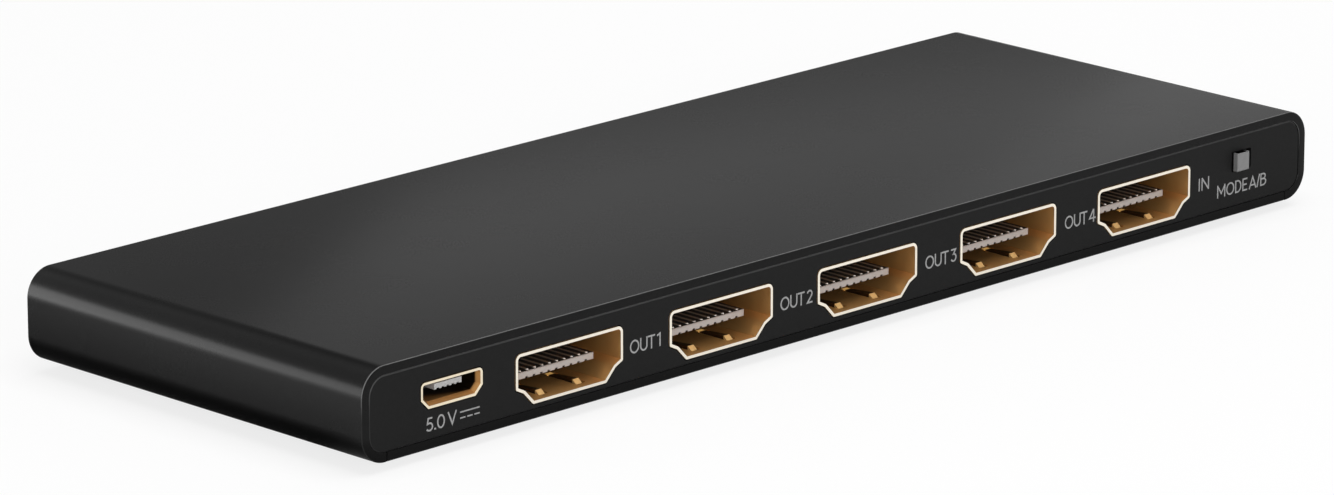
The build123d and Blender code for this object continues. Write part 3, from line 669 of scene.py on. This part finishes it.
# %% Tongues and contacts
tongue_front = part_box("out1_insulator")[0][1]
tongue = Finish("grey_tongue", Roughness=0.5)
# Painted shade: behind its cut front the tongue is nearly black, grey(0.012).
painted_tongue_shade = (tongue.y - tongue_front).rise(0.06 * MM, 0.12 * MM)
face = tongue.noise(0.25 * MM).mix((0.40, 0.37, 0.35), (0.46, 0.42, 0.40))
tongue.set("Base Color", painted_tongue_shade.mix(face, grey(0.012)))
dress(tongue, *[f"{name}_insulator" for name in socket_names])
power_tongue = Finish("pale_tongue", Roughness=0.5)
power_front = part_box("power_socket_insulator")[0][1]
# Painted shade: deeper in, the power socket's tongue is nearly black, grey(0.012).
painted_power_tongue_shade = (power_tongue.y - power_front).rise(1.2 * MM, 1.6 * MM)
power_tongue.set("Base Color", painted_power_tongue_shade.mix(grey(0.42), grey(0.012)))
dress(power_tongue, "power_socket_insulator")

contact = Finish("contact_strip", Roughness=0.35)
# Painted highlight: each contact's front tip is white, grey(0.95), and not metallic.
beyond_painted_tip_highlight = (contact.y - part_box("out1_contacts")[0][1]).rise(0.12 * MM, 0.3 * MM)
contact.set("Base Color", beyond_painted_tip_highlight.mix(grey(0.95), (0.60, 0.52, 0.45)))
contact.set("Metallic", beyond_painted_tip_highlight * 0.8)
dress(contact, *[f"{name}_contacts" for name in socket_names], "power_socket_contacts")
sprung = Finish("sprung_contact", Metallic=1.0, Roughness=0.3)
sprung.set("Base Color", sprung.noise(0.4 * MM).mix((0.83, 0.64, 0.36), (0.90, 0.72, 0.44)))
dress(sprung, "switch_terminals", "switch_wiper")


# %% [markdown]
# ## Mouldings, rubber and small parts
#
# The rest are mouldings, metals and ceramics that differ in shade, gloss and grain, so one
# function makes them all: a colour that drifts between two shades, and a fine grain.


# %% Plain finishes
def plain(name, dark, light, roughness, grain=0.2 * MM, depth=0.004 * MM, **constants):
    """A finish whose colour drifts between two shades over patches of the grain's size."""
    finish = Finish(name, **constants)
    cloud = finish.noise(grain * 6, 3.0)
    fine = finish.noise(grain)
    finish.tone = (cloud * 0.6 + fine * 0.4).rise(0.3, 0.7).mix(dark, light)
    finish.set("Base Color", finish.tone)
    finish.set("Roughness", roughness - 0.05 + 0.1 * fine)
    finish.bump(fine, depth)
    return finish


# The knob is grey outside the slot, and painted dark as painted shade in the slot and in the
# pocket in its top.
knob = plain("grey_knob", grey(0.165), grey(0.19), 0.45, 0.12 * MM, 0.002 * MM)
pocket_half, pocket_front = 0.74 * MM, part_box("switch_knob")[0][1] + 0.145 * MM
hair = 0.01 * MM
painted_pocket_shade = 1.0 - abs(knob.x - middle_x("switch_knob")).rise(pocket_half, pocket_half + hair)
painted_pocket_shade = painted_pocket_shade * (knob.y - pocket_front).rise(0.0, hair)
painted_slot_shade = (knob.y - panel_face).rise(-0.06 * MM, 0.04 * MM)
knob.set("Base Color", (painted_pocket_shade + painted_slot_shade).rise(0.0, 1.0).mix(knob.tone, grey(0.004)))
dress(knob, "switch_knob")
metal = {"Metallic": 1.0}
dress(plain("black_moulding", grey(0.012), grey(0.02), 0.5), "switch_base")
dress(plain("switch_tin", grey(0.55), grey(0.68), 0.3, **metal), "switch_cover")
dress(plain("foot_rubber", grey(0.018), grey(0.03), 0.8, 0.3 * MM, 0.02 * MM), "rubber_feet")
dress(plain("black_screw", grey(0.03), grey(0.06), 0.35, **metal), "cover_screws")
dress(plain("zinc_screw", grey(0.55), grey(0.7), 0.35, **metal), "board_screws")
dress(plain("turned_brass", (0.68, 0.47, 0.18), (0.8, 0.58, 0.26), 0.3, **metal), "standoffs")
dress(plain("black_film", grey(0.008), grey(0.014), 0.3, 1.0 * MM, 0.0), "insulating_sheet")
black_epoxy = plain("black_epoxy", grey(0.014), grey(0.026), 0.55)
dress(black_epoxy, "splitter_chip", "memory_chips", "firmware_chip")
dress(plain("regulator_epoxy", grey(0.018), grey(0.03), 0.6), "regulator_chips", "guard_chips")
dress(plain("grey_pad", (0.30, 0.36, 0.42), (0.36, 0.42, 0.48), 0.8, 0.4 * MM), "thermal_pad")
dress(plain("tinned_leg", grey(0.62), grey(0.75), 0.35, **metal), "chip_leads")
dress(plain("grey_ferrite", grey(0.05), grey(0.08), 0.6), "inductor_cores")
dress(plain("copper_wire", (0.70, 0.32, 0.14), (0.82, 0.42, 0.2), 0.35, **metal), "inductor_coils")
tan_ceramic = plain("tan_ceramic", (0.42, 0.28, 0.16), (0.5, 0.35, 0.22), 0.45)
dress(tan_ceramic, "tank_capacitors", "small_capacitors")
dress(plain("black_resistor", grey(0.02), grey(0.035), 0.4), "small_resistors")
dress(plain("crystal_can", grey(0.6), grey(0.72), 0.28, **metal), "crystal")
dress(plain("milky_lamp", grey(0.75), grey(0.85), 0.3), "status_leds")
dress(plain("clear_guide", grey(0.8), grey(0.9), 0.12, Transmission_Weight=0.6), "light_guides")

# %% [markdown]
# The board's lacquer is dark green over copper tracks, which stand up a little. Lines that
# keep the same distance from scattered points make a fair maze of tracks.

# %% Circuit board
board = Finish("green_board", Roughness=0.35)
track = 1.0 - board.cells(2.4 * MM, "DISTANCE_TO_EDGE").rise(0.04, 0.09)
lacquer = board.noise(3 * MM).mix((0.008, 0.05, 0.022), (0.012, 0.065, 0.03))
board.set("Base Color", track.mix(lacquer, (0.03, 0.13, 0.06)))
board.bump(track, 0.03 * MM)
dress(board, "circuit_board")
print("pieces still without a finish:", sorted(nodes))

# %% [markdown]
# ## Floor, light and camera
#
# The picture is a catalogue shot on white, so the floor is white paper. What the lens sees
# of it is lifted to white while the shade under the case stays. Beside the case a shiny face
# sees it nearly dark, since the sides in the picture mirror no white floor.

# %% Floor
floor_half = 2.0
corners = [(x * floor_half, y * floor_half, 0.0) for x, y in ((-1, -1), (1, -1), (1, 1), (-1, 1))]
floor_mesh = bpy.data.meshes.new("floor")
floor_mesh.from_pydata(corners, [], [(0, 1, 2, 3)])
floor = bpy.data.objects.new("floor", floor_mesh)
bpy.context.scene.collection.objects.link(floor)
paper = Finish("white_paper", Roughness=0.9, Specular_IOR_Level=0.0, Base_Color=grey(0.9))
paths = paper.tree.nodes.new("ShaderNodeLightPath")
rays = [Value(paths.outputs[f"Is {ray} Ray"]) for ray in ("Camera", "Glossy", "Transmission")]
seen = (rays[0] + rays[1] + rays[2]).rise(0.0, 1.0)
white = seen.node("ShaderNodeEmission", {}, {"Color": (1.0, 1.0, 1.0, 1.0), "Strength": 1.0})
lit = Value(paper.shader.outputs[0])
lift, dimming, shade_reach = 0.8, 0.95, 48 * MM
surface = seen.node("ShaderNodeMixShader", {}, {0: seen * lift, 1: lit, 2: white})
# Painted shade in reflections: glossy rays see the paper darkened towards black near the case's sides.
beside_painted_shade = 1.0 - (abs(paper.x) - case_high[0]).rise(0.0, shade_reach)
shaded = rays[1] * beside_painted_shade * (paper.y - case_low[1]).rise(-10 * MM, 10 * MM)
black = seen.node("ShaderNodeEmission", {}, {"Strength": 0.0})
surface = seen.node("ShaderNodeMixShader", {}, {0: shaded * dimming, 1: surface, 2: black})
paper.tree.links.new(surface.socket, paper.tree.nodes["Material Output"].inputs["Surface"])
floor_mesh.materials.append(paper.material)
print("floor", 2 * floor_half, "m across")

# %% [markdown]
# The light is soft, from above and from the front. A leaning strip behind the left end draws
# the bright band along the rounded side, and the top mirrors two faint cards that stand
# behind the far corner.


# %% Lights
def softbox(name, place, size, power, aim=(0.0, 0.0, 0.0)):
    """A large flat lamp that faces the middle of the case, or another point."""
    data = bpy.data.lights.new(name, "AREA")
    data.shape = "RECTANGLE"
    data.size, data.size_y = size
    data.energy = power
    lamp = bpy.data.objects.new(name, data)
    bpy.context.scene.collection.objects.link(lamp)
    lamp.location = place
    lamp.visible_camera = False
    lamp.rotation_euler = (Vector(place) - Vector(aim)).to_track_quat("Z", "Y").to_euler()
    print(name, power, "W")


softbox("overhead", place=(0.0, -0.2, 1.0), size=(1.0, 1.0), power=9.0)
softbox("front_fill", place=(-0.22, -0.53, 0.16), size=(0.4, 0.25), power=1.65)
softbox("left_strip", place=(-0.2985, 0.23, 0.1), size=(0.7, 0.49), power=1.9, aim=(0.0, -0.05, 1.0))
softbox("back_card", place=(0.213, 0.156, 0.155), size=(0.2, 0.2), power=0.06)
softbox("right_card", place=(0.345, 0.13, 0.155), size=(0.2, 0.2), power=0.055)

world = bpy.context.scene.world or bpy.data.worlds.new("studio")
bpy.context.scene.world = world
world.use_nodes = True
sky_strength = 0.2
background = world.node_tree.nodes["Background"]
background.inputs["Color"].default_value = (1.0, 1.0, 1.0, 1.0)
background.inputs["Strength"].default_value = sky_strength

# %% [markdown]
# The camera was fitted to the edges of the case in the picture. It looks at a target along a
# direction given by two angles, from a distance.

# %% Camera
target = np.array([-27.761, -23.985, 14.574]) * MM
azimuth, elevation, distance = math.radians(-45.0), math.radians(15.943), 738.04 * MM
level = math.cos(elevation)
direction = np.array([math.sin(azimuth) * level, -math.cos(azimuth) * level, math.sin(elevation)])
camera_data = bpy.data.cameras.new("camera")
camera_data.sensor_width = 36.0
camera_data.lens = 203.83
camera_data.clip_start = 0.05
camera = bpy.data.objects.new("camera", camera_data)
bpy.context.scene.collection.objects.link(camera)
camera.location = target + direction * distance
camera.rotation_euler = Vector(direction).to_track_quat("Z", "Y").to_euler()
bpy.context.scene.camera = camera
bpy.context.scene.view_settings.view_transform = "Standard"
print("camera", np.round(np.array(camera.location) / MM), "mm, lens", round(camera_data.lens), "mm")
